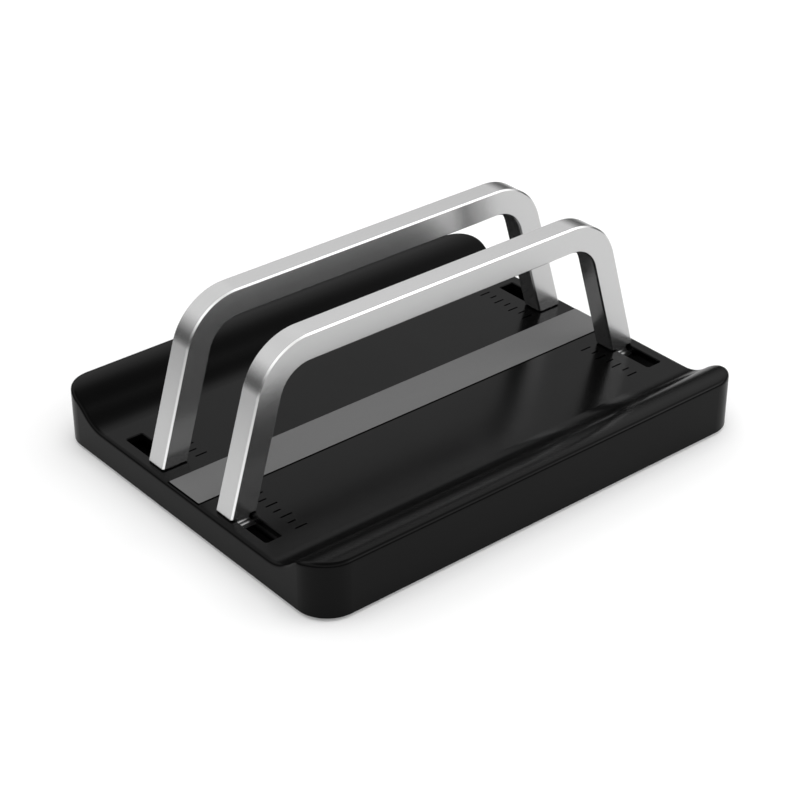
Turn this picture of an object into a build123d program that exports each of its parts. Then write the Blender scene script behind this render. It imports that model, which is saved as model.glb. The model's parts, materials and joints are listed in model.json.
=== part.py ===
"""Vertical laptop stand: a moulded base with two sliding hoops that hold a laptop on its edge.

Millimetres, +Z up. The origin is on the surface the stand rests on, under the middle of the base.
+X runs along the hoops, and the front of the stand faces -Y.
"""

import os
from math import acos, asin, cos, degrees, radians, sin, tan

from build123d import *

os.makedirs("parts", exist_ok=True)

# Base: outer form
base_length = 170.0
base_width = 134.5
base_corner_radius = 10.8
deck_height = 10.0        # deck above the base's bottom edge
lip_rise = 8.3            # crest of each lip above the deck
valley_radius = 14.2      # hollow curve from the deck up into the lip
crest_radius = 17.4       # round curve over the lip's crest
crest_setback = 3.0       # crest line in from the side wall
top_edge_round = 1.3

# Base: moulding
wall_thickness = 2.2
rib_thickness = 1.4
rib_cover_gap = 0.5       # ribs stop this far above the bottom cover
cross_rib_count = 4       # the outer two also guide the slide plates
boss_radius = 3.1
upright_tolerance = 0.001  # a face this near to upright counts as a wall

# Soft strip down the middle of the deck
strip_width = 15.6
strip_thickness = 0.8
strip_proud = 0.3         # strip above the deck
strip_end_inset = 1.0
strip_clearance = 0.25

# Hoops
hoop_gap_closed = 27.1    # between the hoops at their closest
hoop_thickness = 7.9      # bar, measured across the stand
bar_width = 8.9           # bar, measured in the hoop's own plane
hoop_height = 51.9        # top of the hoop above the deck
leg_inset = 2.8           # outer face of a leg at the deck, in from the end of the base
splay_angle = 16.7        # lean of each leg from the vertical
hoop_corner_radius = 20.0
bar_chamfer = 0.5
deck_clearance = 0.05     # running gap between a leg and the deck, and under the deck

# Tenon on the foot of each leg, and the slot it slides in
slot_width = 5.8
slot_corner_cut = 0.5
slot_edge_break = 0.3     # depth of the sloped edge round a slot
edge_break_angle = 45.0
slot_clearance = 0.15
tenon_step = 0.6          # tenon's face in from the bar's face
clamp_gap = 0.2           # tenon stops short of the deck's underside, so that the screw can clamp
slide_travel = 15.0

# Tick marks beside each slot
tick_count = 7
tick_width = 0.6
tick_depth = 0.3
tick_long = 4.2
tick_short = 2.8
tick_slot_gap = 5.0       # tick marks from the slot's edge

# Clamp hardware under each slot
plate_depth = 9.0         # slide plate, measured along the slot
plate_thickness = 1.5
plate_corner_cut = 1.0
lane_clearance = 0.3      # slide plate to the end wall and to the rib that guides it
screw_radius = 1.5
screw_length = 8.0
screw_head_radius = 2.75
screw_head_height = 3.0
screw_head_chamfer = 0.3
hex_across_flats = 2.5
hex_depth = 1.6
screw_clearance = 0.2     # plain holes, around the screw
thread_clearance = 0.02   # threaded holes, around the screw
thread_runout = 1.0       # threaded hole beyond the screw's tip
washer_radius = 2.7
washer_thickness = 0.8
washer_split = 0.6

# Bottom cover and its screws
cover_thickness = 1.8
cover_rebate = 1.1        # how far the cover is let into the wall
cover_clearance = 0.15
access_width = 7.0
access_corner_cut = 2.0
cover_screw_columns = 2
cover_screw_pitch = 88.0
cover_screw_inset = 10.2  # screw rows in from the side walls
cover_screw_radius = 1.3
cover_screw_head_radius = 2.5
cover_screw_length = 7.0
cross_slot_width = 0.6
cross_slot_length = 3.0
cross_slot_depth = 0.9
countersink_angle = 90.0

# Rubber feet
foot_radius = 7.0
foot_proud = 1.0          # foot below the cover
foot_recess = 0.6
foot_clearance = 0.1
foot_inset = 14.5         # foot's centre in from both sides of the base

# Heights
base_bottom = foot_proud
deck_top = base_bottom + deck_height
deck_underside = deck_top - wall_thickness
cover_top = base_bottom + cover_thickness
body_height = deck_height + lip_rise
plate_top = deck_underside - deck_clearance
washer_top = plate_top - plate_thickness
head_top = washer_top - washer_thickness

# Legs, slots and the parts that follow them
half_foot = bar_width / cos(radians(splay_angle)) / 2
slot_x = base_length / 2 - leg_inset - half_foot
tenon_width = slot_width - 2 * slot_clearance
tenon_depth = hoop_thickness - 2 * tenon_step
slide_y = hoop_gap_closed / 2 + hoop_thickness / 2
slot_length = tenon_depth + slide_travel + 2 * slot_clearance
slot_y = slide_y + slide_travel / 2
plate_width = 2 * (base_length / 2 - wall_thickness - lane_clearance - slot_x)
lane_rib_x = slot_x - plate_width / 2 - lane_clearance - rib_thickness / 2
corners = [(side_x, side_y) for side_y in (-1, 1) for side_x in (-1, 1)]
slot_centres = [(side_x * slot_x, side_y * slot_y) for side_x, side_y in corners]
foot_centres = [
    (side_x * (base_length / 2 - foot_inset), side_y * (base_width / 2 - foot_inset))
    for side_x, side_y in corners
]
cover_screw_row_gap = base_width - 2 * cover_screw_inset

# Lip: the two curves meet at one slope, which sets where the deck starts to rise
lip_slope = acos(1 - lip_rise / (valley_radius + crest_radius))
crest_y = base_width / 2 - crest_setback
valley_y = crest_y - (valley_radius + crest_radius) * sin(lip_slope)


def base_form(inset):
    """Make the base as one solid form, lying `inset` inside its outer skin at the top and sides.

    The section runs past the walls on every side, and the rounded outline then cuts it to size.
    """
    length = base_length - 2 * inset
    width = base_width - 2 * inset
    top = deck_top - inset
    beyond = width / 2 + wall_thickness
    over_crest = degrees(asin((beyond - crest_y) / (crest_radius - inset)))
    with BuildPart() as form:
        with BuildSketch(Plane.YZ):
            with BuildLine():
                deck = Line((0, top), (valley_y, top))
                valley = JernArc(deck @ 1, deck % 1, valley_radius + inset, degrees(lip_slope))
                crest = JernArc(
                    valley @ 1, valley % 1, crest_radius - inset, -degrees(lip_slope) - over_crest
                )
                Polyline(crest @ 1, (beyond, 0), (0, 0), (0, top))
            make_face()
            mirror(about=Plane.YZ)
        extrude(amount=base_length, both=True)
        with BuildSketch(Plane.XY.offset(base_bottom)):
            RectangleRounded(length, width, base_corner_radius - inset)
        extrude(amount=body_height, mode=Mode.INTERSECT)
    return form.part


def save(piece, name):
    """Label a finished piece and write it to its own file."""
    piece.label = name
    export_step(piece, f"parts/{name}.step")


# Hollow inside the base: it leaves the bosses and ribs standing, and it takes in the rebate for the
# cover and the pilot holes for the cover's screws
with BuildPart() as hollow:
    add(base_form(wall_thickness))
    with BuildSketch(Plane.XY.offset(cover_top)):
        with GridLocations(cover_screw_pitch, cover_screw_row_gap, cover_screw_columns, 2):
            Circle(boss_radius)
    extrude(amount=body_height, mode=Mode.SUBTRACT)
    with BuildSketch(Plane.XY.offset(cover_top + rib_cover_gap)):
        with GridLocations(2 * lane_rib_x / (cross_rib_count - 1), 0, cross_rib_count, 1):
            Rectangle(rib_thickness, base_width)
        with GridLocations(0, strip_width, 1, 2):
            Rectangle(base_length, rib_thickness)
    extrude(amount=body_height, mode=Mode.SUBTRACT)
    with BuildSketch(Plane.XY.offset(base_bottom)):
        RectangleRounded(
            base_length - 2 * cover_rebate,
            base_width - 2 * cover_rebate,
            base_corner_radius - cover_rebate,
        )
    extrude(amount=cover_thickness)
    with BuildSketch(Plane.XY.offset(base_bottom)):
        with GridLocations(cover_screw_pitch, cover_screw_row_gap, cover_screw_columns, 2):
            Circle(cover_screw_radius + thread_clearance)
    extrude(amount=cover_screw_length + thread_runout)

# Base shell
with BuildPart() as base_shell:
    add(base_form(0))
    walls = base_shell.faces().filter_by(lambda face: abs(face.normal_at().Z) < upright_tolerance)
    upright = walls.edges().filter_by(Axis.Z)
    bottom_outline = base_shell.edges().group_by(Axis.Z)[0]
    rim = (walls.edges() - upright - bottom_outline).sort_by(SortBy.LENGTH, reverse=True)
    fillet(rim, top_edge_round)

    # Groove for the soft strip
    with BuildSketch(Plane.XY.offset(deck_top)):
        Rectangle(
            base_length - 2 * strip_end_inset + 2 * strip_clearance,
            strip_width + 2 * strip_clearance,
        )
    extrude(amount=strip_proud - strip_thickness, mode=Mode.SUBTRACT)

    # Tick marks, long and short in turn, from one end of each slot to the other
    with BuildSketch(Plane.XY.offset(deck_top)):
        for (side_x, side_y), (centre_x, centre_y) in zip(corners, slot_centres):
            for tick in range(tick_count):
                tick_length = tick_short if tick % 2 else tick_long
                tick_x = slot_x - slot_width / 2 - tick_slot_gap - tick_length / 2
                along = tick / (tick_count - 1) - 0.5
                with Locations((side_x * tick_x, centre_y + along * (slot_length - tick_width))):
                    Rectangle(tick_length, tick_width)
    extrude(amount=-tick_depth, mode=Mode.SUBTRACT)

    # Slots for the tenons, which widen at the top where their edges are broken
    with BuildSketch(Plane.XY.offset(deck_top - slot_edge_break)) as slots:
        with Locations(*slot_centres):
            Rectangle(slot_width, slot_length)
        chamfer(slots.vertices(), slot_corner_cut)
    extrude(amount=-2 * wall_thickness, mode=Mode.SUBTRACT)
    extrude(slots.sketch, amount=slot_edge_break, taper=-edge_break_angle, mode=Mode.SUBTRACT)
    add(hollow.part, mode=Mode.SUBTRACT)
save(base_shell.part, "base_shell")

# Soft strip
with BuildPart() as centre_strip:
    with BuildSketch(Plane.XY.offset(deck_top + strip_proud)):
        Rectangle(base_length - 2 * strip_end_inset, strip_width)
    extrude(amount=-strip_thickness)
save(centre_strip.part, "centre_strip")

# Bottom cover
with BuildPart() as bottom_cover:
    cover_inset = cover_rebate + cover_clearance
    with BuildSketch(Plane.XY.offset(base_bottom)):
        RectangleRounded(
            base_length - 2 * cover_inset,
            base_width - 2 * cover_inset,
            base_corner_radius - cover_inset,
        )
    extrude(amount=cover_thickness)
    with BuildSketch(Plane.XY.offset(base_bottom)) as access:
        with Locations(*slot_centres):
            Rectangle(access_width, slide_travel + access_width)
        chamfer(access.vertices(), access_corner_cut)
    extrude(amount=cover_thickness, mode=Mode.SUBTRACT)
    with BuildSketch(Plane.XY.offset(base_bottom)):
        with Locations(*foot_centres):
            Circle(foot_radius + foot_clearance)
    extrude(amount=foot_recess, mode=Mode.SUBTRACT)
    with Locations(Plane(origin=(0, 0, base_bottom), z_dir=(0, 0, -1))):
        with GridLocations(cover_screw_pitch, cover_screw_row_gap, cover_screw_columns, 2):
            CounterSinkHole(
                cover_screw_radius + screw_clearance,
                cover_screw_head_radius + screw_clearance,
                counter_sink_angle=countersink_angle,
            )
save(bottom_cover.part, "bottom_cover")

# Cover screws: countersunk heads with a cross slot, flush with the cover
with BuildPart() as cover_screws:
    with GridLocations(cover_screw_pitch, cover_screw_row_gap, cover_screw_columns, 2) as screw_grid:
        screw_places = screw_grid.local_locations
    with BuildSketch(Plane.XY.offset(base_bottom)):
        with Locations(*screw_places):
            Circle(cover_screw_head_radius)
    head_depth = (cover_screw_head_radius - cover_screw_radius) / tan(radians(countersink_angle / 2))
    extrude(amount=head_depth, taper=countersink_angle / 2)
    with BuildSketch(Plane.XY.offset(base_bottom)):
        with Locations(*screw_places):
            Circle(cover_screw_radius)
    extrude(amount=cover_screw_length)
    with BuildSketch(Plane.XY.offset(base_bottom)):
        with Locations(*screw_places):
            Rectangle(cross_slot_length, cross_slot_width)
            Rectangle(cross_slot_width, cross_slot_length)
    extrude(amount=cross_slot_depth, mode=Mode.SUBTRACT)
save(cover_screws.part, "cover_screws")

# Hoops: a bar bent along one path, cut off level at the feet, with a tenon under each leg
hoop_bottom = deck_top + deck_clearance
bar_line_top = deck_top + hoop_height - bar_width / 2
bar_line_bottom = deck_top - bar_width
lean = tan(radians(splay_angle))
thread_depth = screw_length - washer_thickness - plate_thickness - deck_clearance + thread_runout
for side_y, hoop_name in ((-1, "front_hoop"), (1, "rear_hoop")):
    with BuildPart() as hoop:
        inner_y = side_y * hoop_gap_closed / 2
        with BuildSketch(Plane.XZ.offset(-inner_y)):
            with BuildLine():
                foot_x = slot_x + lean * (deck_top - bar_line_bottom)
                shoulder_x = slot_x - lean * (bar_line_top - deck_top)
                FilletPolyline(
                    (-foot_x, bar_line_bottom),
                    (-shoulder_x, bar_line_top),
                    (shoulder_x, bar_line_top),
                    (foot_x, bar_line_bottom),
                    radius=hoop_corner_radius - bar_width / 2,
                )
            trace(line_width=bar_width)
        extrude(amount=-side_y * hoop_thickness)
        split(bisect_by=Plane.XY.offset(hoop_bottom), keep=Keep.TOP)
        across = hoop.edges().filter_by(Axis.Y)
        foot_ends = across.group_by(Axis.Z)[0]
        chamfer(hoop.edges() - across + foot_ends, bar_chamfer)

        # Tenons, each with a threaded hole that runs up into its leg
        tenon_places = [(side_x * slot_x, side_y * slide_y) for side_x in (-1, 1)]
        with BuildSketch(Plane.XY.offset(hoop_bottom)) as tenons:
            with Locations(*tenon_places):
                Rectangle(tenon_width, tenon_depth)
            chamfer(tenons.vertices(), slot_corner_cut)
        extrude(amount=deck_underside + clamp_gap - hoop_bottom)
        with BuildSketch(Plane.XY.offset(deck_underside)):
            with Locations(*tenon_places):
                Circle(screw_radius + thread_clearance)
        extrude(amount=thread_depth, mode=Mode.SUBTRACT)
    save(hoop.part, hoop_name)

# Clamp hardware under each leg, and the rubber foot at each corner
for (side_x, side_y), foot_centre in zip(corners, foot_centres):
    corner_name = ("front" if side_y < 0 else "rear") + ("_left" if side_x < 0 else "_right")
    clamp_place = (side_x * slot_x, side_y * slide_y)

    with BuildPart() as slide_plate:
        with BuildSketch(Plane.XY.offset(washer_top)) as plate_outline:
            with Locations(clamp_place):
                Rectangle(plate_width, plate_depth)
                chamfer(plate_outline.vertices(), plate_corner_cut)
                Circle(screw_radius + screw_clearance, mode=Mode.SUBTRACT)
        extrude(amount=plate_thickness)
    save(slide_plate.part, f"{corner_name}_slide_plate")

    with BuildPart() as lock_washer:
        with BuildSketch(Plane.XY.offset(head_top)):
            with Locations(clamp_place):
                Circle(washer_radius)
                Circle(screw_radius + screw_clearance, mode=Mode.SUBTRACT)
            with Locations((clamp_place[0] - side_x * washer_radius, clamp_place[1])):
                Rectangle(2 * washer_radius, washer_split, mode=Mode.SUBTRACT)
        extrude(amount=washer_thickness)
    save(lock_washer.part, f"{corner_name}_lock_washer")

    with BuildPart() as clamp_screw:
        with BuildSketch(Plane.XY.offset(head_top)):
            with Locations(clamp_place):
                Circle(screw_head_radius)
        extrude(amount=-screw_head_height)
        chamfer(clamp_screw.edges().group_by(Axis.Z)[0], screw_head_chamfer)
        with BuildSketch(Plane.XY.offset(head_top)):
            with Locations(clamp_place):
                Circle(screw_radius)
        extrude(amount=screw_length)
        with BuildSketch(Plane.XY.offset(head_top - screw_head_height)):
            with Locations(clamp_place):
                RegularPolygon(hex_across_flats / 2, side_count=6, major_radius=False)
        extrude(amount=hex_depth, mode=Mode.SUBTRACT)
    save(clamp_screw.part, f"{corner_name}_clamp_screw")

    with BuildPart() as foot:
        with BuildSketch():
            with Locations(foot_centre):
                Circle(foot_radius)
        extrude(amount=foot_proud + foot_recess)
    save(foot.part, f"{corner_name}_foot")
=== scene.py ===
# %% [markdown]
# # A vertical laptop stand
#
# This lesson dresses a finished CAD model of a laptop stand: a black moulded base, a grey soft strip
# and two bright metal hoops that slide apart. The CAD model gives every shape its place and size.
# Blender adds what the eye sees on top of that: plastic, blasted metal, silicone and steel, the light,
# and the camera. Everything is in metres, with the desk's surface at Z = 0 and the stand's front
# towards -Y.

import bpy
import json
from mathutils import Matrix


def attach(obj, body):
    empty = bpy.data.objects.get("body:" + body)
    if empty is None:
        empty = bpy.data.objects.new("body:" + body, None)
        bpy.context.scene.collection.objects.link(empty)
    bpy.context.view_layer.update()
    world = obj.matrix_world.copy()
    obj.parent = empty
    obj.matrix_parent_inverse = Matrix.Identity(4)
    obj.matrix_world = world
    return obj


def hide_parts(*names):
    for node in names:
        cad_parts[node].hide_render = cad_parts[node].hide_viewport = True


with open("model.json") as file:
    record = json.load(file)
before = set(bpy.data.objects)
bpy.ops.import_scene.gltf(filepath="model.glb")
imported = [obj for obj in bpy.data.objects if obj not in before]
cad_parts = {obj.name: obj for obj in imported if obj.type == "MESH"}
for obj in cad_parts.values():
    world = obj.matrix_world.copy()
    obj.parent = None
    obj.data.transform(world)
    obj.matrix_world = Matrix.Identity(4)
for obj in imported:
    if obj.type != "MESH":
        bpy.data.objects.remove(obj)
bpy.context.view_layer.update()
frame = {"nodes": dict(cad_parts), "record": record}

# %% Tools for meshes, angles and vectors
import json
import math

import bmesh
import bpy
from mathutils import Vector

MM = 0.001
FULL_TURN = 2 * math.pi
print("one millimetre is", MM, "metres")

# %% [markdown]
# ## Writing shader maths as plain expressions
#
# A finish is a tree of nodes. It could be wired by hand in the Shader Editor, but then the idea behind
# it is lost among the wires. So a small class wraps one output socket, and subtracting, multiplying or
# comparing such values adds the Math node that does it. Every other kind of node comes from one method,
# which takes the node's settings first and then the values or links of its sockets.


# %% A value that varies over a surface
class Field:
    """One output socket. Arithmetic with numbers or other fields adds Math nodes."""

    def __init__(self, finish, socket):
        self.finish = finish
        self.socket = socket

    def maths(self, operation, first, second=0.0):
        return self.finish.node("ShaderNodeMath", {"operation": operation}, {0: first, 1: second})

    def __sub__(self, other):
        return self.maths("SUBTRACT", self, other)

    def __rsub__(self, other):
        return self.maths("SUBTRACT", other, self)

    def __mul__(self, other):
        return self.maths("MULTIPLY", self, other)

    def __gt__(self, other):
        return self.maths("GREATER_THAN", self, other)

    def __lt__(self, other):
        return self.maths("LESS_THAN", self, other)

    def __abs__(self):
        return self.maths("ABSOLUTE", self)

    def largest(self, other):
        return self.maths("MAXIMUM", self, other)

    __rmul__ = __mul__


print("fields can be subtracted, multiplied and compared")


# %% A finish, and the one method that makes its nodes
NOISE_LOW, NOISE_HIGH = 0.3, 0.7  # nearly all of a noise lies between these


class Finish:
    """A node tree under construction, in a new material unless a tree is given."""

    def __init__(self, name, tree=None):
        if tree is None:
            self.material = bpy.data.materials.new(name)
            self.material.use_nodes = True
            tree = self.material.node_tree
        self.tree = tree
        self.tree.nodes.clear()

    def node(self, kind, settings=None, inputs=None, output=0):
        made = self.tree.nodes.new(kind)
        for name, value in (settings or {}).items():
            setattr(made, name, value)
        for name, value in (inputs or {}).items():
            if isinstance(value, Field):
                self.tree.links.new(value.socket, made.inputs[name])
            else:
                made.inputs[name].default_value = value
        return Field(self, made.outputs[output]) if made.outputs else made

    def place(self):
        """Where a point lies on the object, in metres."""
        return self.node("ShaderNodeTexCoord", output="Object")

    def along(self, axis):
        """One coordinate of the place, in metres."""
        return self.node("ShaderNodeSeparateXYZ", None, {"Vector": self.place()}, output=axis)

    def distance(self):
        """How far the place is from the origin, in metres."""
        return self.node(
            "ShaderNodeVectorMath", {"operation": "LENGTH"}, {0: self.place()}, output="Value"
        )

    def noise(self, size, detail=2.0, roughness=0.5):
        """Soft random mottling whose blobs are about `size` metres across."""
        return self.node(
            "ShaderNodeTexNoise", {"noise_dimensions": "3D"},
            {"Vector": self.place(), "Scale": 1.0 / size, "Detail": detail, "Roughness": roughness},
        )

    def range(self, field, low, high, start, end):
        """Carry a field from low..high to start..end, without going beyond them."""
        return self.node(
            "ShaderNodeMapRange", {"clamp": True},
            {"Value": field, "From Min": low, "From Max": high, "To Min": start, "To Max": end},
        )

    def around(self, noise, middle, spread):
        """Carry a noise to a value that varies by `spread` to both sides of a middle one."""
        return self.range(noise, NOISE_LOW, NOISE_HIGH, middle - spread, middle + spread)

    def blend(self, factor, first, second):
        """Mix two colours."""
        return self.node(
            "ShaderNodeMix", {"data_type": "RGBA"}, {"Factor": factor, 6: first, 7: second}, output=2
        )

    def mottle(self, factor, tone, spread):
        """A grey that a noise makes darker and lighter by a share of its tone."""
        return self.blend(factor, grey(tone * (1 - spread)), grey(tone * (1 + spread)))

    def bump(self, height, depth):
        """Turn a height field from 0 to 1 into relief that is `depth` metres deep."""
        return self.node("ShaderNodeBump", None, {"Height": height, "Strength": 1.0, "Distance": depth})

    def mixed(self, factor, first, second):
        """Show the first shader where the factor is 0 and the second where it is 1."""
        return self.node("ShaderNodeMixShader", None, {0: factor, 1: first, 2: second})

    def matt(self, colour):
        return self.node("ShaderNodeBsdfDiffuse", None, {"Color": colour})

    def finish_with(self, shader):
        self.node("ShaderNodeOutputMaterial", None, {"Surface": shader})
        return self.material


def grey(tone):
    return (tone, tone, tone, 1.0)


print("finishes ready to be made")

# %% [markdown]
# ## The camera
#
# The photograph looks down at the stand from its front left corner with a long lens. A camera could be
# set by eye, but here the lens and the angles were solved from the straight edges of the base, so the
# render can be laid over the photograph. The view transform is Standard, so a tone in a material comes
# out as the same tone in the picture.

# %% Camera
LENS_MM = 93.879
SENSOR_MM = 36.0
YAW = math.radians(39.822)
PITCH = math.radians(31.189)
CAMERA_PLACE = Vector((-0.36373, -0.43547, 0.35418))
SEES_FROM, SEES_TO = 0.01, 50.0

camera_data = bpy.data.cameras.new("photo_camera")
camera_data.lens = LENS_MM
camera_data.sensor_width = SENSOR_MM
camera_data.clip_start = SEES_FROM
camera_data.clip_end = SEES_TO
camera = bpy.data.objects.new("photo_camera", camera_data)
bpy.context.scene.collection.objects.link(camera)
level = math.cos(PITCH)
looking = Vector((math.sin(YAW) * level, math.cos(YAW) * level, -math.sin(PITCH)))
camera.location = CAMERA_PLACE
camera.rotation_mode = "QUATERNION"
camera.rotation_quaternion = looking.to_track_quat("-Z", "Y")
bpy.context.scene.camera = camera
bpy.context.scene.view_settings.view_transform = "Standard"
print("camera looks along", [round(part, 3) for part in looking])

# %% [markdown]
# ## The studio
#
# Black plastic and bright metal show their surroundings more than their own colour, so the studio
# matters more here than the materials do. Read in the bends of the hoops, the photograph's studio is a
# white table, a dark gap above its far edge, a broad pale light all round, and a darker ceiling.
#
# The table is a plain diffuse sheet that keeps the stand's shadow. A little glow, seen only by the
# camera and in reflections, lifts it to white, and grows with distance because the lamps don't reach
# that far. A real table ends soon, and the dark room behind it shows in low reflections. This one runs
# on to the horizon, so in reflections it fades with distance instead.


# %% White table
def join_stage(name, points, faces):
    """A piece of the studio, which is no part of the stand."""
    mesh = bpy.data.meshes.new(name)
    mesh.from_pydata(points, [], faces)
    piece = bpy.data.objects.new(name, mesh)
    bpy.context.scene.collection.objects.link(piece)
    return piece


TABLE_REACH, TABLE_DROP = 12.0, 0.0002
TABLE_TONE, TABLE_GLOW = 0.9, 0.4
GLOW_FROM, GLOW_TO, GLOW_LEAST, GLOW_MOST = 0.5, 1.5, 0.25, 1.0
FADE_FROM, FADE_TO, FADE_LEAST, FADE_MOST = 0.18, 0.7, 0.1, 0.83
corners = ((-1, -1), (1, -1), (1, 1), (-1, 1))
table = join_stage(
    "table", [(x * TABLE_REACH, y * TABLE_REACH, -TABLE_DROP) for x, y in corners], [(0, 1, 2, 3)]
)
paper = Finish("white_table")
seen = paper.node("ShaderNodeLightPath", output="Is Camera Ray")
for ray in ("Is Glossy Ray", "Is Transmission Ray"):
    seen = seen.largest(paper.node("ShaderNodeLightPath", output=ray))
dark = paper.node("ShaderNodeEmission", None, {"Color": grey(0.0), "Strength": 0.0})
glow = paper.node("ShaderNodeEmission", None, {"Color": grey(1.0), "Strength": TABLE_GLOW})
glowing = seen * paper.range(paper.distance(), GLOW_FROM, GLOW_TO, GLOW_LEAST, GLOW_MOST)
lift = paper.mixed(glowing, dark, glow)
white = paper.node("ShaderNodeAddShader", None, {0: paper.matt(grey(TABLE_TONE)), 1: lift})
far = paper.range(paper.distance(), FADE_FROM, FADE_TO, FADE_LEAST, FADE_MOST)
mirrored = paper.node("ShaderNodeLightPath", output="Is Glossy Ray")
table.data.materials.append(paper.finish_with(paper.mixed(far * mirrored, white, dark)))
print("table at", -TABLE_DROP)

# %% [markdown]
# The pale light all round is the world. A picture of a studio could be wrapped round the scene, but a
# tone that depends only on height looks the same from every side and has just three numbers to set.

# %% Room
ROOM_LIGHT = 1.1
ROOM_CEILING = 0.3
CEILING_FROM, CEILING_TO = 0.74, 0.88
world = bpy.data.worlds.new("pale_room")
bpy.context.scene.world = world
world.use_nodes = True
room = Finish("pale_room", world.node_tree)
upward = room.node(
    "ShaderNodeSeparateXYZ", None,
    {"Vector": room.node("ShaderNodeTexCoord", output="Generated")}, output="Z",
)
tone = room.range(upward, CEILING_FROM, CEILING_TO, ROOM_LIGHT, ROOM_CEILING)
room.node(
    "ShaderNodeOutputWorld", None,
    {"Surface": room.node("ShaderNodeBackground", None, {"Color": tone, "Strength": 1.0})},
)
print("room light", ROOM_LIGHT, "ceiling", ROOM_CEILING)

# %% [markdown]
# The dark gap above the table is a ring of black gauze far away, dense at its foot and thinning out
# upwards. It stands a little nearer on the left, where the photograph's reflections are darker.
# Photographers stand black cloth there to draw dark lines along shiny edges, and keep it out of the
# picture. So the camera doesn't see it here, and it casts no shadow: only reflections show it.

# %% Black gauze
WALL_DISTANCE, WALL_SHIFT, WALL_SIDES = 5.0, 0.5, 48
THIN_FROM, THIN_TO, WALL_MOST = 0.75, 2.9, 0.95
CLOTH_TONE = 0.01
wall_points = []
for side in range(WALL_SIDES):
    turn = FULL_TURN * side / WALL_SIDES
    foot = (WALL_SHIFT + WALL_DISTANCE * math.cos(turn), WALL_DISTANCE * math.sin(turn))
    wall_points += [(*foot, 0.0), (*foot, THIN_TO)]
count = len(wall_points)
black_wall = join_stage(
    "black_wall", wall_points,
    [(i, (i + 2) % count, (i + 3) % count, i + 1) for i in range(0, count, 2)],
)
gauze = Finish("black_gauze")
clear = gauze.node("ShaderNodeBsdfTransparent", None, {"Color": grey(1.0)})
thick = gauze.range(gauze.along("Z"), THIN_FROM, THIN_TO, WALL_MOST, 0.0)
cloth = gauze.matt(grey(CLOTH_TONE))
black_wall.data.materials.append(gauze.finish_with(gauze.mixed(thick, clear, cloth)))
black_wall.visible_camera = False
black_wall.visible_diffuse = False
black_wall.visible_shadow = False
print("black gauze up to", THIN_TO, "m")

# %% [markdown]
# Three soft lamps light the stand. The large one overhead gives the table its soft shadow, and stays
# out of reflections, where it would wash the black deck out. The other two stand at the front right,
# as in the photograph, and do show in gloss: they draw light along the front lip and over its right
# end. Point lamps would draw hard dots there instead.


# %% Soft lamps
def soft_lamp(name, place, size, watts, in_reflections=False):
    """A round lamp aimed at the stand. It shows in gloss only if asked to, and never to the camera."""
    data = bpy.data.lights.new(name, "AREA")
    data.shape = "DISK"
    data.size = size
    data.energy = watts
    lamp = bpy.data.objects.new(name, data)
    lamp.location = place
    lamp.rotation_mode = "QUATERNION"
    lamp.rotation_quaternion = (-Vector(place)).to_track_quat("-Z", "Y")
    lamp.visible_glossy = in_reflections
    lamp.visible_camera = False
    bpy.context.scene.collection.objects.link(lamp)


soft_lamp("overhead_lamp", place=(0.05, -0.1, 1.7), size=1.6, watts=9.5)
soft_lamp("right_front_lamp", place=(0.8, -0.97, 0.82), size=0.8, watts=1.7, in_reflections=True)
soft_lamp("small_near_lamp", place=(0.428, -0.331, 0.242), size=0.25, watts=0.22, in_reflections=True)
print("lamps ready")

# %% [markdown]
# ## Black plastic
#
# The base is moulded in black plastic with a satin skin. Black plastic is nearly all gloss: its own
# colour is about a thousandth of white, and what shows is a faint, blurred picture of the room that
# grows where the surface turns away from the eye. One glossy shader alone makes that growth too strong
# at low angles, so it is mixed with a plain matt one. A fine mottle in the roughness, and relief a few
# thousandths of a millimetre deep, keep the picture from looking like glass. The floors of the ticks
# get
# painted shade: a darker colour and no gloss at all. They are found by their place on the deck.

# %% Base plastic
DECK_TOP = 11.0 * MM
TICK_SHALLOW, TICK_DEEP = 0.03 * MM, 0.35 * MM
TICKS_FROM, TICKS_TO, TICKS_REACH = 65.0 * MM, 70.0 * MM, 40.0 * MM
TICK_SHADE_SHARE = 0.3
MOTTLE_SIZE, MOTTLE_SPREAD, SHEEN_SPREAD = 22.0 * MM, 0.15, 0.02


def inside(field, low, high):
    """1 where a field lies between two values, 0 elsewhere."""
    return (field > low) * (field < high)


def moulded_plastic(name, tone, roughness, ior, gloss_share, grain, depth, painted_tick_shade=False):
    skin = Finish(name)
    fine = skin.noise(grain, detail=3.0)
    broad = skin.noise(MOTTLE_SIZE)
    colour = skin.mottle(broad, tone, MOTTLE_SPREAD)
    share = gloss_share
    if painted_tick_shade:
        # Painted shade: the floors of the ticks get a darker colour and no gloss.
        shaded_ticks = inside(skin.along("Z"), DECK_TOP - TICK_DEEP, DECK_TOP - TICK_SHALLOW)
        shaded_ticks = shaded_ticks * inside(abs(skin.along("X")), TICKS_FROM, TICKS_TO)
        shaded_ticks = shaded_ticks * (abs(skin.along("Y")) < TICKS_REACH)
        colour = skin.blend(shaded_ticks, colour, grey(tone * TICK_SHADE_SHARE))
        share = (1.0 - shaded_ticks) * gloss_share
    shiny = skin.node("ShaderNodeBsdfPrincipled", None, {
        "Base Color": colour,
        "Roughness": skin.around(broad, roughness, SHEEN_SPREAD),
        "IOR": ior,
        "Normal": skin.bump(fine, depth),
    })
    return skin.finish_with(skin.mixed(share, skin.matt(colour), shiny))


base_plastic = moulded_plastic(
    "black_satin_plastic", tone=0.001, roughness=0.2, ior=1.25, gloss_share=0.66,
    grain=0.35 * MM, depth=0.0015 * MM, painted_tick_shade=True,
)
cover_plastic = moulded_plastic(
    "black_textured_plastic", tone=0.008, roughness=0.45, ior=1.35, gloss_share=0.9,
    grain=0.5 * MM, depth=0.012 * MM,
)
print("plastics:", base_plastic.name, cover_plastic.name)

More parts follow.
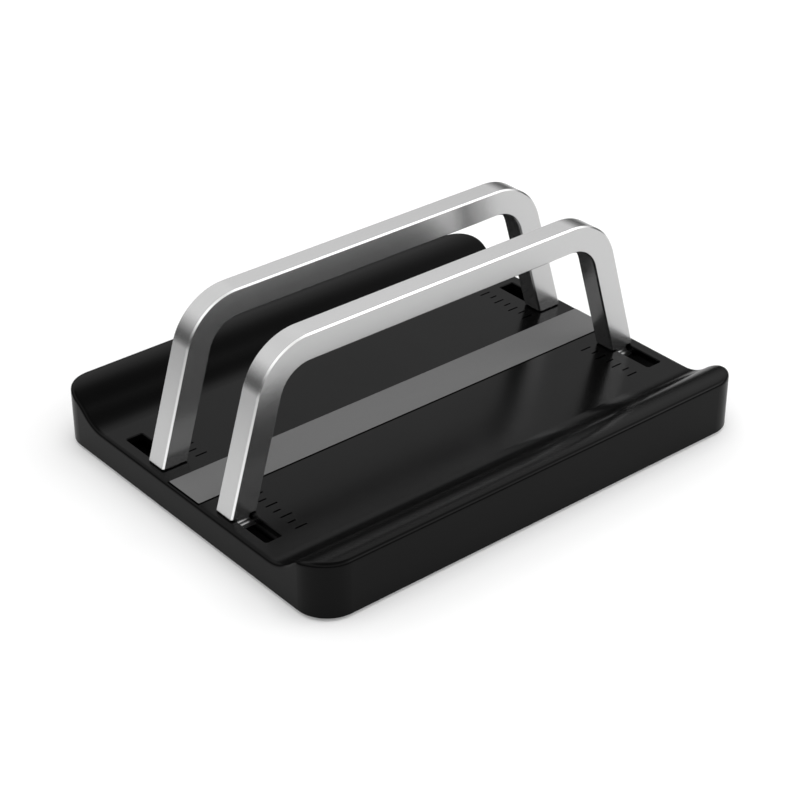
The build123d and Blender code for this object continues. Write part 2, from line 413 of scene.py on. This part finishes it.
# %% [markdown]
# ## Metals
#
# The hoops are aluminium bars, blasted with fine grit and clear anodised. Grit leaves dimples a few
# tenths of a millimetre wide, which blur reflections evenly in every direction. Modelling them would
# take millions of faces, so the roughness and a faint relief follow one fine noise instead. The clear
# layer takes off a little of the metal's mirror. The long edges were cut afterwards with a polished
# tool, and shine brighter than the faces. The steel parts under the deck are zinc plated or blackened.


# %% Metal
def metal(name, tone, roughness, grain, depth, spread=0.04, metallic=1.0):
    skin = Finish(name)
    fine = skin.noise(grain, detail=4.0, roughness=0.7)
    return skin.finish_with(skin.node("ShaderNodeBsdfPrincipled", None, {
        "Base Color": skin.mottle(fine, tone, spread),
        "Metallic": metallic,
        "Roughness": skin.around(fine, roughness, spread),
        "Normal": skin.bump(fine, depth),
    }))


blasted_aluminium = metal(
    "blasted_aluminium", tone=0.56, roughness=0.22, grain=0.22 * MM, depth=0.003 * MM, metallic=0.945
)
cut_aluminium = metal(
    "bright_cut_aluminium", tone=0.93, roughness=0.2, grain=0.5 * MM, depth=0.0005 * MM, spread=0.02
)
zinc_plate = metal("zinc_plated_steel", tone=0.5, roughness=0.35, grain=0.6 * MM, depth=0.003 * MM)
spring_steel = metal("spring_steel", tone=0.45, roughness=0.3, grain=0.4 * MM, depth=0.002 * MM)
black_steel = metal("blackened_steel", tone=0.06, roughness=0.38, grain=0.3 * MM, depth=0.002 * MM)
print("metals ready")

# %% [markdown]
# ## Silicone and rubber
#
# The strip under the laptop is grey silicone and the feet are black rubber. Both are dull and slightly
# velvety. Their fine skin is the texture of the mould they were pressed in. The strip lies in a groove
# of the deck, and its flanks are painted matt black below a certain height: painted shade, standing in
# for the groove's deep shadow, that draws the thin black line along the strip.


# %% Soft materials
RUBBER_GRAIN, RUBBER_SPREAD, RUBBER_IOR = 0.3 * MM, 0.07, 1.4
PAINTED_SHADE_TONE = 0.001


def soft_rubber(name, tone, roughness, depth, painted_shade_below=None):
    skin = Finish(name)
    fine = skin.noise(RUBBER_GRAIN, detail=3.0)
    top = skin.node("ShaderNodeBsdfPrincipled", None, {
        "Base Color": skin.mottle(fine, tone, RUBBER_SPREAD),
        "Roughness": roughness,
        "IOR": RUBBER_IOR,
        "Normal": skin.bump(fine, depth),
    })
    if painted_shade_below is None:
        return skin.finish_with(top)
    # Painted shade: below this height the flanks turn matt black, for the groove's shadow.
    painted_flank_shade = skin.along("Z") < painted_shade_below
    return skin.finish_with(skin.mixed(painted_flank_shade, top, skin.matt(grey(PAINTED_SHADE_TONE))))


strip_silicone = soft_rubber(
    "grey_silicone", tone=0.14, roughness=0.75, depth=0.006 * MM, painted_shade_below=11.27 * MM
)
foot_rubber = soft_rubber("black_rubber", tone=0.02, roughness=0.7, depth=0.01 * MM)
print("soft materials ready")

# %% [markdown]
# The CAD solids that need no more shape keep their meshes: the base, the cover and the slide plates.
# Every node gets the finish of its material slot. The ones replaced further down are dressed as well,
# so that a piece left out there would still look right.

# %% Finishes for the CAD nodes
FINISHES = {
    "base_plastic": base_plastic,
    "cover_plastic": cover_plastic,
    "strip_silicone": strip_silicone,
    "hoop_aluminium": blasted_aluminium,
    "plate_steel": zinc_plate,
    "washer_steel": spring_steel,
    "screw_steel": black_steel,
    "foot_rubber": foot_rubber,
}
for row in frame["record"]["subparts"]:
    node = frame["nodes"][row["node"]]
    node.data.materials.clear()
    node.data.materials.append(FINISHES[row["material_slot"]])
print("finishes:", sorted(FINISHES))

# %% [markdown]
# ## Building pieces from loops
#
# The pieces below stand in for CAD solids, to carry detail that a solid model leaves out, such as
# threads, knurls and rounded edges. Modifiers could add some of it to a plain shape, but their result
# is hard to foresee at sharp corners. All of these pieces are loops of points, one above another,
# joined by bands of faces, so every edge lies just where it is asked for. A small class keeps the mesh
# while it grows, and hands it over as a finished piece.


# %% A mesh made of loops
CREASE = math.radians(30.0)  # edges that turn more than this stay sharp


class Shape:
    """Closed loops of points joined by bands of faces. Points are in millimetres."""

    def __init__(self):
        self.mesh = bmesh.new()

    def loop(self, points):
        return [self.mesh.verts.new(Vector(point) * MM) for point in points]

    def band(self, low, high, finishes=(0,)):
        """Faces between two loops with as many points, whose finishes repeat round the loop."""
        count = len(low)
        for i in range(count):
            j = (i + 1) % count
            face = self.mesh.faces.new((low[i], low[j], high[j], high[i]))
            face.material_index = finishes[i % len(finishes)]

    def stack(self, loops, finishes=(0,)):
        made = [self.loop(points) for points in loops]
        for low, high in zip(made, made[1:]):
            self.band(low, high, finishes)
        return made

    def cap(self, loop):
        self.mesh.faces.new(loop)

    def cap_between(self, outer, inner):
        """A flat face with a hole in it, between two loops of any length."""
        edges = []
        for loop in (outer, inner):
            for i, point in enumerate(loop):
                other = loop[(i + 1) % len(loop)]
                edge = self.mesh.edges.get((point, other)) or self.mesh.edges.new((point, other))
                edges.append(edge)
        bmesh.ops.triangle_fill(self.mesh, use_beauty=True, use_dissolve=False, edges=edges)

    def piece(self, name, body, slot, node, finishes):
        """Finish the mesh, and let it stand for a CAD node on a body."""
        bmesh.ops.recalc_face_normals(self.mesh, faces=self.mesh.faces)
        for face in self.mesh.faces:
            face.smooth = True
        for edge in self.mesh.edges:
            edge.smooth = len(edge.link_faces) != 2 or edge.calc_face_angle() < CREASE
        data = bpy.data.meshes.new(name)
        self.mesh.to_mesh(data)
        self.mesh.free()
        made = bpy.data.objects.new(name, data)
        bpy.context.scene.collection.objects.link(made)
        for finish in finishes:
            data.materials.append(finish)
        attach(made, body)
        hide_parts(node)
        return made


def circle(radius, height, centre=(0.0, 0.0), sides=48, phase=0.0):
    """Points of a level circle."""
    turns = [FULL_TURN * (i + phase) / sides for i in range(sides)]
    return [(centre[0] + radius * math.cos(t), centre[1] + radius * math.sin(t), height) for t in turns]


def cut_rectangle(half_x, half_y, cut, height, centre=(0.0, 0.0)):
    """Points of a level rectangle with its corners cut off."""
    points = []
    for sign_x, sign_y in ((1, 1), (-1, 1), (-1, -1), (1, -1)):
        pair = [
            (centre[0] + sign_x * half_x, centre[1] + sign_y * (half_y - cut), height),
            (centre[0] + sign_x * (half_x - cut), centre[1] + sign_y * half_y, height),
        ]
        points += pair if sign_x * sign_y > 0 else pair[::-1]
    return points


print("loops, bands and caps ready")

# %% [markdown]
# ## Hoops
#
# Each hoop is one square bar, bent twice and cut off level at its feet, with a narrower tenon under
# each leg. A curve with a bevel profile would make a bar too, but not its level feet, nor the bright
# finish of its cut edges alone. So its mesh is the section's eight corners, repeated at every station
# of the bar's path. The stations lie close together in the bends, where reflections would show any
# flat. Four of the eight faces round the section are the bright cut edges.

# %% Sizes of the hoops
BAR_WIDTH, BAR_DEPTH, BAR_CUT, FOOT_CUT_SHARE = 8.9, 7.9, 0.5, 0.6
SPLAY = math.radians(16.7)
BEND_RADIUS = 20.0 - BAR_WIDTH / 2
HOOP_TOP, HOOP_FOOT = 62.9, 11.05
LEG_X = 77.554
LEG_DATUM = 11.0
HOOP_Y = 17.5
BEND_STATIONS = 40
bar_line = HOOP_TOP - BAR_WIDTH / 2
bend_sweep = math.pi / 2 - SPLAY
shoulder = LEG_X - math.tan(SPLAY) * (bar_line - LEG_DATUM)
bend_x = shoulder - BEND_RADIUS * math.tan(bend_sweep / 2)
bend_z = bar_line - BEND_RADIUS
print("bends turn about X", round(bend_x, 3), "Z", round(bend_z, 3))


# %% Section of the bar
def bar_section(shrink=0.0):
    """Eight corners of the bar's section: outwards in the hoop's plane, then across the stand."""
    half_u, half_v = BAR_WIDTH / 2 - shrink, BAR_DEPTH / 2 - shrink
    cut = BAR_CUT * FOOT_CUT_SHARE if shrink else BAR_CUT
    return [(x, y) for x, y, _ in cut_rectangle(half_u, half_v, cut, 0.0)]


def bent_station(side, angle, section, hoop_y):
    """The section part of the way round a bend, `angle` from the vertical."""
    out_x, out_z = side * math.sin(angle), math.cos(angle)
    return [
        (
            side * bend_x + (BEND_RADIUS + u) * out_x,
            hoop_y + v,
            bend_z + (BEND_RADIUS + u) * out_z,
        )
        for u, v in section
    ]


def level_station(side, height, section, hoop_y):
    """The section where a leg is cut off level at a height."""
    centre_x = side * (LEG_X - math.tan(SPLAY) * (height - LEG_DATUM))
    return [(centre_x + side * u / math.cos(SPLAY), hoop_y + v, height) for u, v in section]


print("section corners:", len(bar_section()))

# %% [markdown]
# The tenons are separate blocks that run a little way up into the bar. On a real hoop they are milled
# from it, and the eye can't tell: the join lies against the foot's flat face, inside the slot's shadow.

# %% The two hoops
TENON_HALF_X, TENON_HALF_Y, TENON_CUT, TENON_BREAK = 2.75, 3.35, 0.5, 0.15
TENON_FOOT, HOLE_RADIUS, HOLE_TOP, HOLE_SIDES = 9.0, 1.52, 15.45, 32
FOOT_BREAK = BAR_CUT * math.cos(SPLAY)


def hoop_bar(shape, hoop_y):
    """The bent bar, from the left foot round to the right one."""
    section, small = bar_section(), bar_section(BAR_CUT)
    angles = [bend_sweep * i / BEND_STATIONS for i in range(BEND_STATIONS + 1)]
    stations = [
        level_station(-1, HOOP_FOOT, small, hoop_y),
        level_station(-1, HOOP_FOOT + FOOT_BREAK, section, hoop_y),
    ]
    stations += [bent_station(-1, angle, section, hoop_y) for angle in reversed(angles)]
    stations += [bent_station(1, angle, section, hoop_y) for angle in angles]
    stations += [
        level_station(1, HOOP_FOOT + FOOT_BREAK, section, hoop_y),
        level_station(1, HOOP_FOOT, small, hoop_y),
    ]
    made = shape.stack(stations, finishes=(1, 0))
    shape.cap(made[0])
    shape.cap(made[-1])


def tenon(shape, centre):
    """The tenon under a leg, with the hole its screw runs up into."""
    made = shape.stack([
        cut_rectangle(TENON_HALF_X, TENON_HALF_Y, TENON_CUT, HOOP_FOOT + BAR_CUT / 2, centre),
        cut_rectangle(TENON_HALF_X, TENON_HALF_Y, TENON_CUT, TENON_FOOT + TENON_BREAK, centre),
        cut_rectangle(
            TENON_HALF_X - TENON_BREAK, TENON_HALF_Y - TENON_BREAK, TENON_CUT, TENON_FOOT, centre
        ),
    ])
    hole = shape.stack([circle(HOLE_RADIUS, z, centre, HOLE_SIDES) for z in (TENON_FOOT, HOLE_TOP)])
    shape.cap(made[0])
    shape.cap_between(made[-1], hole[0])
    shape.cap(hole[-1])


for end, side_y in (("front", -1), ("rear", 1)):
    shape = Shape()
    hoop_bar(shape, side_y * HOOP_Y)
    for side_x in (-1, 1):
        tenon(shape, (side_x * LEG_X, side_y * HOOP_Y))
    hoop = shape.piece(
        f"{end}_bent_hoop", f"{end}_slider", "hoop_aluminium", f"{end}_hoop",
        (blasted_aluminium, cut_aluminium),
    )
    print(hoop.name, "faces:", len(hoop.data.polygons))

# %% [markdown]
# ## Soft strip and feet
#
# The strip is a flat band of silicone let into the deck. What makes it look soft is its edge, which is
# rounded rather than sharp. A Bevel modifier could round it, but the outline repeated at a few heights,
# a little smaller each time, does the same with fewer faces.


# %% Outlines with rounded corners
def rounded_rectangle(half_x, half_y, radius, height, steps=6):
    """Points of a level rectangle with round corners, each made of a few steps."""
    points = []
    for quarter, (sign_x, sign_y) in enumerate(((1, 1), (-1, 1), (-1, -1), (1, -1))):
        middle = (sign_x * (half_x - radius), sign_y * (half_y - radius))
        for step in range(steps + 1):
            turn = FULL_TURN * (quarter + step / steps) / 4
            points.append(
                (middle[0] + radius * math.cos(turn), middle[1] + radius * math.sin(turn), height)
            )
    return points


def rounding(radius, steps=4):
    """How far in and how far down each step of a rounded edge lies, from the wall to the top."""
    turns = [math.pi / 2 * i / steps for i in range(steps + 1)]
    return [(radius * (1 - math.cos(t)), radius * (1 - math.sin(t))) for t in turns]


print("a rounded edge of 1:", [(round(a, 2), round(b, 2)) for a, b in rounding(1.0, 2)])

# %% Soft strip
STRIP_HALF_X, STRIP_HALF_Y, STRIP_CORNER = 84.0, 7.8, 0.5
STRIP_FOOT, STRIP_TOP, STRIP_ROUND = 10.5, 11.3, 0.2
shape = Shape()
made = shape.stack(
    [rounded_rectangle(STRIP_HALF_X, STRIP_HALF_Y, STRIP_CORNER, STRIP_FOOT)]
    + [
        rounded_rectangle(
            STRIP_HALF_X - inward, STRIP_HALF_Y - inward, STRIP_CORNER - inward, STRIP_TOP - down
        )
        for inward, down in rounding(STRIP_ROUND)
    ]
)
shape.cap(made[0])
shape.cap(made[-1])
strip = shape.piece("soft_strip", "base", "strip_silicone", "centre_strip", (strip_silicone,))
print(strip.name, "faces:", len(strip.data.polygons))

# %% [markdown]
# The feet are round pads of rubber, glued into shallow recesses of the cover. They are turned shapes:
# circles one above another, with a rounded edge and a shallow ring moulded into the face that grips the
# desk. The Screw modifier would turn a profile in the same way, but here the loops are at hand already.

# %% Feet
FOOT_RADIUS, FOOT_TOP, FOOT_ROUND, FOOT_SIDES = 7.0, 1.6, 0.45, 64
FOOT_X, FOOT_Y = 70.5, 52.75
RING_OUT, RING_IN, RING_SLOPE, RING_DEPTH = 5.6, 4.8, 0.2, 0.25


def foot_profile():
    """Radius and height of each circle, from the top round the edge to the middle of the face."""
    edge = [(FOOT_RADIUS - inward, down) for inward, down in rounding(FOOT_ROUND)]
    ring = [
        (RING_OUT, 0.0), (RING_OUT - RING_SLOPE, RING_DEPTH),
        (RING_IN + RING_SLOPE, RING_DEPTH), (RING_IN, 0.0),
    ]
    return [(FOOT_RADIUS, FOOT_TOP)] + edge + ring


for end, side_y in (("front", -1), ("rear", 1)):
    for hand, side_x in (("left", -1), ("right", 1)):
        shape = Shape()
        centre = (side_x * FOOT_X, side_y * FOOT_Y)
        made = shape.stack([
            circle(radius, height, centre, FOOT_SIDES) for radius, height in foot_profile()
        ])
        shape.cap(made[0])
        shape.cap(made[-1])
        foot = shape.piece(
            f"{end}_{hand}_rubber_foot", "base", "foot_rubber", f"{end}_{hand}_foot", (foot_rubber,)
        )
print("feet made, each with", len(foot.data.polygons), "faces")

# %% [markdown]
# ## Screws and washers
#
# The clamp screws are small socket head screws, which show their heads through the openings in the
# cover. A real one has a knurled rim, a six-sided socket and a rolled thread. Rings one above another
# would look like a thread from the side, but they have no start and no end. So this one is a true
# helix: its root and crest climb by one pitch a turn, and each turn's top edge is the next turn's root.


# %% Threads
def thread(shape, centre, root, crest, pitch, low, high, sides=24):
    """A helical thread that climbs from one height to another."""
    def point(radius, step, rise):
        turn = FULL_TURN * step / sides
        return shape.mesh.verts.new(Vector((
            centre[0] + radius * math.cos(turn),
            centre[1] + radius * math.sin(turn),
            low + pitch * step / sides + rise,
        )) * MM)

    steps = int((high - low - pitch) / pitch * sides)
    roots = [point(root, step, 0.0) for step in range(steps + sides + 1)]
    crests = [point(crest, step, pitch / 2) for step in range(steps + 1)]
    for i in range(steps):
        shape.mesh.faces.new((roots[i], roots[i + 1], crests[i + 1], crests[i]))
        shape.mesh.faces.new((crests[i], crests[i + 1], roots[i + 1 + sides], roots[i + sides]))


print("threads ready")

# %% Clamp screws
HEAD_FOOT, HEAD_TOP, HEAD_RADIUS, HEAD_CUT = 3.45, 6.45, 2.75, 0.3
KNURL_COUNT, KNURL_DEPTH = 36, 0.07
SOCKET_FLATS, SOCKET_DEPTH, SOCKET_POINT = 2.5, 1.6, 0.4
SCREW_TOP, THREAD_CREST, THREAD_ROOT, THREAD_PITCH = 14.45, 1.5, 1.2, 0.5
socket_radius = SOCKET_FLATS / 2 / math.cos(math.pi / 6)


def knurled(height, centre):
    """A circle whose points lie on the crests and in the roots of the knurl by turns."""
    plain = circle(HEAD_RADIUS, height, centre, 2 * KNURL_COUNT)
    sunk = circle(HEAD_RADIUS - KNURL_DEPTH, height, centre, 2 * KNURL_COUNT)
    return [(sunk if i % 2 else plain)[i] for i in range(2 * KNURL_COUNT)]


def clamp_screw(shape, centre):
    sides = 2 * KNURL_COUNT
    outside = shape.stack([
        circle(HEAD_RADIUS - HEAD_CUT, HEAD_FOOT, centre, sides),
        circle(HEAD_RADIUS - KNURL_DEPTH, HEAD_FOOT + HEAD_CUT, centre, sides),
        knurled(HEAD_FOOT + HEAD_CUT + KNURL_DEPTH, centre),
        knurled(HEAD_TOP - KNURL_DEPTH, centre),
        circle(HEAD_RADIUS - KNURL_DEPTH, HEAD_TOP, centre, sides),
        circle(THREAD_ROOT, HEAD_TOP, centre, sides),
        circle(THREAD_ROOT, SCREW_TOP, centre, sides),
    ])
    socket = shape.stack([
        circle(socket_radius, HEAD_FOOT, centre, 6),
        circle(socket_radius, HEAD_FOOT + SOCKET_DEPTH, centre, 6),
        circle(socket_radius * SOCKET_POINT, HEAD_FOOT + SOCKET_DEPTH + SOCKET_POINT, centre, 6),
    ])
    shape.cap_between(outside[0], socket[0])
    shape.cap(socket[-1])
    shape.cap(outside[-1])
    thread(shape, centre, THREAD_ROOT, THREAD_CREST, THREAD_PITCH, HEAD_TOP, SCREW_TOP)


print("socket reaches", round(socket_radius, 3), "mm from the middle")

# %% [markdown]
# A lock washer is a spring ring, split and cut at a slant, which keeps the screw from working loose. It
# is a small square section carried round a circle and stopped short of closing. The section is turned a
# little further at its top than at its foot, which slants both cut ends.

# %% Lock washers
WASHER_IN, WASHER_OUT, WASHER_BREAK = 1.7, 2.7, 0.1
WASHER_FOOT, WASHER_TOP = 6.45, 7.25
WASHER_GAP, WASHER_SLANT, WASHER_STATIONS = 0.26, 0.22, 48


def lock_washer(shape, centre, facing):
    """A split ring, open on the side that faces the given direction along X."""
    middle_r, middle_z = (WASHER_IN + WASHER_OUT) / 2, (WASHER_FOOT + WASHER_TOP) / 2
    section = cut_rectangle(
        (WASHER_OUT - WASHER_IN) / 2, (WASHER_TOP - WASHER_FOOT) / 2, WASHER_BREAK, 0.0
    )
    start = (0.0 if facing > 0 else math.pi) + WASHER_GAP / 2
    stations = []
    for i in range(WASHER_STATIONS + 1):
        turn = start + (FULL_TURN - WASHER_GAP) * i / WASHER_STATIONS
        points = []
        for across, up, _ in section:
            slanted = turn + WASHER_SLANT * up
            radius = middle_r + across
            points.append((
                centre[0] + radius * math.cos(slanted),
                centre[1] + radius * math.sin(slanted),
                middle_z + up,
            ))
        stations.append(points)
    made = shape.stack(stations)
    shape.cap(made[0])
    shape.cap(made[-1])


for end, side_y in (("front", -1), ("rear", 1)):
    for hand, side_x in (("left", -1), ("right", 1)):
        centre = (side_x * LEG_X, side_y * HOOP_Y)
        shape = Shape()
        clamp_screw(shape, centre)
        screw = shape.piece(
            f"{end}_{hand}_socket_screw", f"{end}_slider", "screw_steel",
            f"{end}_{hand}_clamp_screw", (black_steel,),
        )
        shape = Shape()
        lock_washer(shape, centre, -side_x)
        washer = shape.piece(
            f"{end}_{hand}_split_washer", f"{end}_slider", "washer_steel",
            f"{end}_{hand}_lock_washer", (spring_steel,),
        )
print("screw faces:", len(screw.data.polygons), "washer faces:", len(washer.data.polygons))

# %% [markdown]
# The cover is held by four countersunk screws with a cross recess. Cutting the cross out of the head
# with a Boolean would leave long thin faces, so the head's face is filled between its rim and the cross
# instead. The recess narrows as it goes down, and each screw stopped at its own angle when it was
# tightened.

# %% Cover screws
COVER_X, COVER_Y = 44.0, 57.05
FLAT_Z, RIM, SINK_RADIUS, SHANK_RADIUS, TIP_Z = 1.0, 0.06, 2.5, 1.3, 8.0
COARSE_ROOT, COARSE_PITCH, TIP_LENGTH, TIP_POINT = 0.95, 0.9, 1.2, 0.1
ARM_HALF, ARM_REACH, RECESS_DEPTH, RECESS_FLOOR = 0.3, 1.5, 0.9, 0.45
ANGLES = (0.3, 1.1, 0.7, 0.1)


def cross(centre, angle, height, scale):
    """Twelve points of a level cross."""
    half, reach = ARM_HALF * scale ** 0.5, ARM_REACH * scale
    arm = ((reach, -half), (reach, half), (half, half))
    points = []
    for quarter in range(4):
        turn = angle + quarter * math.pi / 2
        for x, y in arm:
            points.append((
                centre[0] + x * math.cos(turn) - y * math.sin(turn),
                centre[1] + x * math.sin(turn) + y * math.cos(turn),
                height,
            ))
    return points


def cover_screw(shape, centre, angle):
    sink_top = FLAT_Z + SINK_RADIUS - SHANK_RADIUS
    outside = shape.stack([
        circle(SINK_RADIUS - RIM, FLAT_Z, centre),
        circle(SINK_RADIUS, FLAT_Z + RIM, centre),
        circle(SHANK_RADIUS, sink_top, centre),
        circle(COARSE_ROOT, sink_top, centre),
        circle(COARSE_ROOT, TIP_Z - TIP_LENGTH, centre),
        circle(COARSE_ROOT * TIP_POINT, TIP_Z, centre),
    ])
    recess = shape.stack([
        cross(centre, angle, FLAT_Z, 1.0), cross(centre, angle, FLAT_Z + RECESS_DEPTH, RECESS_FLOOR),
    ])
    shape.cap_between(outside[0], recess[0])
    shape.cap(recess[-1])
    shape.cap(outside[-1])
    thread(shape, centre, COARSE_ROOT, SHANK_RADIUS, COARSE_PITCH, sink_top, TIP_Z - TIP_LENGTH / 2)


shape = Shape()
spots = [(x * COVER_X, y * COVER_Y) for y in (-1, 1) for x in (-1, 1)]
for spot, angle in zip(spots, ANGLES):
    cover_screw(shape, spot, angle)
screws = shape.piece("cross_recess_screws", "base", "screw_steel", "cover_screws", (black_steel,))
print(screws.name, "faces:", len(screws.data.polygons))
